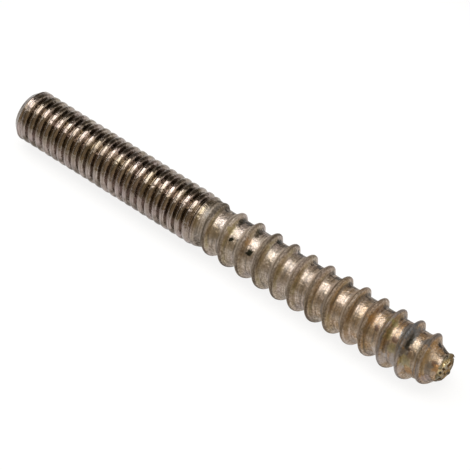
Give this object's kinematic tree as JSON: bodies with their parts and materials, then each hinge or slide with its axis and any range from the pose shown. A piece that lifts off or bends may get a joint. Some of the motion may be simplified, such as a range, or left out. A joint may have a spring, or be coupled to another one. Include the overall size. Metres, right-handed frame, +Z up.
{
  "type": "double-ended screw",
  "caption": "Headless steel hanger bolt with a fine machine thread on one end, a short plain neck and a coarse wood thread ending in a blunt broken tip on the other.",
  "frame": {"origin": "centre of the screw's length and width, on the surface that it lies on", "axes": "+X along the screw's axis towards the wood thread's tip, +Z up from the surface that it lies on"},
  "size_m": [0.0762, 0.0084, 0.0084],
  "materials": {
    "screw_steel": "rolled steel with a thin warm brown tarnish, bright on the crests and golden towards the tip"
  },
  "bodies": {
    "root": {"double_ended_screw": "screw_steel"}
  },
  "joints": []
}
